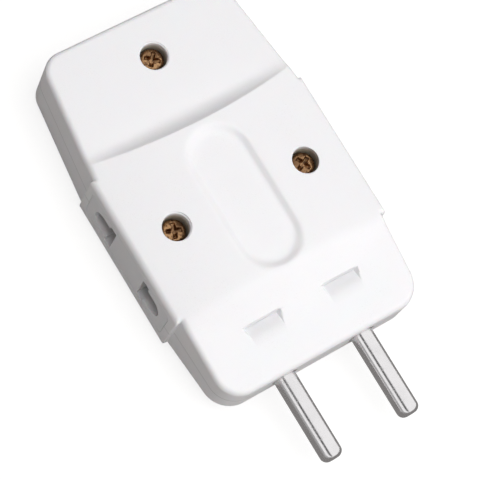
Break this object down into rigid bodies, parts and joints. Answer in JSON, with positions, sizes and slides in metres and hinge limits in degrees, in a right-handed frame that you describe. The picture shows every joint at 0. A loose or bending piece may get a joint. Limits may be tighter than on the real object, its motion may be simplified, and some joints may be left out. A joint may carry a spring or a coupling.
{
  "type": "three-way plug adapter",
  "caption": "White moulded plug adapter with round plug pins on its nose, outlets on both sides and the rear, recessed cross-head screws and a finger groove in its crowned pad.",
  "frame": {"origin": "centre of the plug face, midway between the two pins on the parting plane of the shells", "axes": "+X out along the plug pins, +Z to the screw side, +Y to the side of the neutral pin, which completes a right-handed frame"},
  "size_m": [0.0978, 0.0512, 0.0181],
  "materials": {
    "white_moulding": "semi-gloss",
    "white_face": "semi-gloss",
    "plated_pin": "bright nickel plate on brass",
    "gilt_screw": "yellow passivated",
    "contact_brass": "plain sheet",
    "fibre_card": "matt"
  },
  "bodies": {
    "root": {"top_shell": "white_moulding", "bottom_shell": "white_moulding", "insulating_card": "fibre_card", "left_line_clip": "contact_brass", "left_line_rivet": "contact_brass", "left_neutral_clip": "contact_brass", "left_neutral_rivet": "contact_brass", "left_outlet_face": "white_face", "left_screw": "gilt_screw", "line_bar": "contact_brass", "line_pin": "plated_pin", "line_pin_rivet": "contact_brass", "neutral_bar": "contact_brass", "neutral_pin": "plated_pin", "neutral_pin_rivet": "contact_brass", "rear_line_clip": "contact_brass", "rear_line_rivet": "contact_brass", "rear_neutral_clip": "contact_brass", "rear_neutral_rivet": "contact_brass", "rear_outlet_face": "white_face", "rear_screw": "gilt_screw", "right_line_clip": "contact_brass", "right_line_rivet": "contact_brass", "right_neutral_clip": "contact_brass", "right_neutral_rivet": "contact_brass", "right_outlet_face": "white_face", "right_screw": "gilt_screw"}
  },
  "joints": []
}
